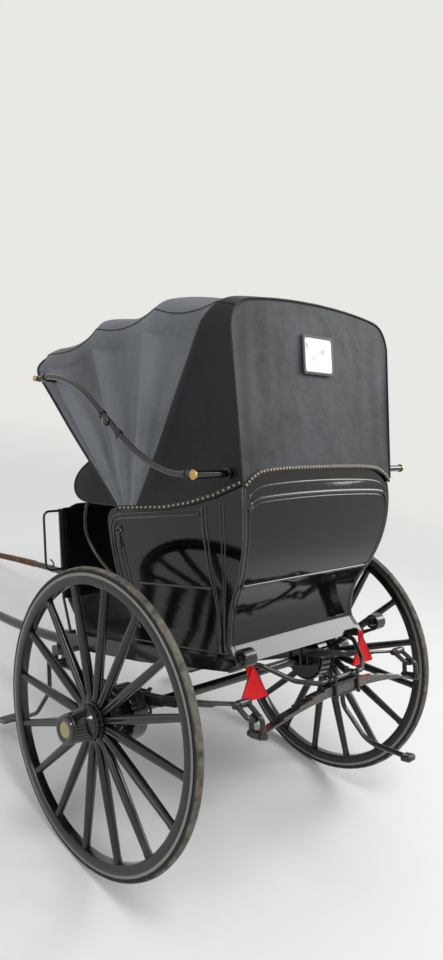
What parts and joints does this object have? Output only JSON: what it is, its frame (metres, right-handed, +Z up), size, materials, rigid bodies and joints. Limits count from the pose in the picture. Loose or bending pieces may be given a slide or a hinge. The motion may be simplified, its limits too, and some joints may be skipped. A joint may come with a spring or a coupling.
{
  "type": "hooded two-wheeled horse gig",
  "caption": "Light horse carriage with a folding-style leather hood, glossy body on leaf springs, tall spoked wheels and a pair of shafts, parked on its shaft tips.",
  "frame": {"origin": "centre of the bounding box at ground level, between the wheels and the shaft tips", "axes": "+Z up, -Y forward along the shafts, +X to the carriage's left side"},
  "size_m": [1.78, 3.916, 2.3498],
  "materials": {
    "rubber_tread": "matt, dusty tread",
    "wheel_paint": "gloss black paint on ash",
    "hub_paint": "gloss black enamel",
    "iron_black": "gloss black paint on forged iron",
    "spring_steel": "black paint on spring steel",
    "shaft_paint": "black paint on ash",
    "body_lacquer": "high gloss black coach lacquer",
    "floor_boards": "black painted boards",
    "dash_leather": "patent leather",
    "seat_leather": "black buttoned leather",
    "hood_leather": "grained hood leather",
    "bow_wood": "varnished ash",
    "window_pane": "translucent white pane",
    "reflector_red": "moulded red reflector"
  },
  "bodies": {
    "carriage": {"backplate_left": "iron_black", "side_spring_left": "spring_steel", "axle_clip_left": "iron_black", "spring_hanger_left": "iron_black", "shackle_left": "iron_black", "shaft_left": "shaft_paint", "rear_scroll_left": "iron_black", "reflector_left": "reflector_red", "side_panel_left": "body_lacquer", "dash_iron_left": "iron_black", "hood_stay_left": "iron_black", "wing_flap_left": "hood_leather", "grab_rail_left": "iron_black", "side_step_left": "iron_black", "backplate_right": "iron_black", "side_spring_right": "spring_steel", "axle_clip_right": "iron_black", "spring_hanger_right": "iron_black", "shackle_right": "iron_black", "shaft_right": "shaft_paint", "rear_scroll_right": "iron_black", "reflector_right": "reflector_red", "side_panel_right": "body_lacquer", "dash_iron_right": "iron_black", "hood_stay_right": "iron_black", "wing_flap_right": "hood_leather", "grab_rail_right": "iron_black", "side_step_right": "iron_black", "axle": "iron_black", "cross_spring": "spring_steel", "cross_clip": "iron_black", "rear_iron": "iron_black", "rear_step": "iron_black", "rear_bar": "shaft_paint", "middle_bar": "shaft_paint", "front_bar": "shaft_paint", "splinter_bar": "shaft_paint", "rear_panel": "body_lacquer", "floor_board": "floor_boards", "footboard": "floor_boards", "dash": "dash_leather", "seat_box": "body_lacquer", "seat_cushion": "seat_leather", "back_cushion": "seat_leather", "hood_cover": "hood_leather", "hood_bows": "bow_wood", "rear_window": "window_pane"},
    "wheel_left": {"tyre_left": "rubber_tread", "felloe_left": "wheel_paint", "spokes_left": "wheel_paint", "hub_left": "hub_paint", "hub_cap_left": "hub_paint", "brake_drum_left": "hub_paint"},
    "wheel_right": {"tyre_right": "rubber_tread", "felloe_right": "wheel_paint", "spokes_right": "wheel_paint", "hub_right": "hub_paint", "hub_cap_right": "hub_paint", "brake_drum_right": "hub_paint"}
  },
  "joints": [
    {"name": "wheel_left_spin", "type": "hinge", "parent": "carriage", "child": "wheel_left", "pos_m": [0.742, 1.00069, 0.61], "axis": [1, 0, 0], "continuous": true},
    {"name": "wheel_right_spin", "type": "hinge", "parent": "carriage", "child": "wheel_right", "pos_m": [-0.742, 1.00069, 0.61], "axis": [1, 0, 0], "continuous": true}
  ]
}
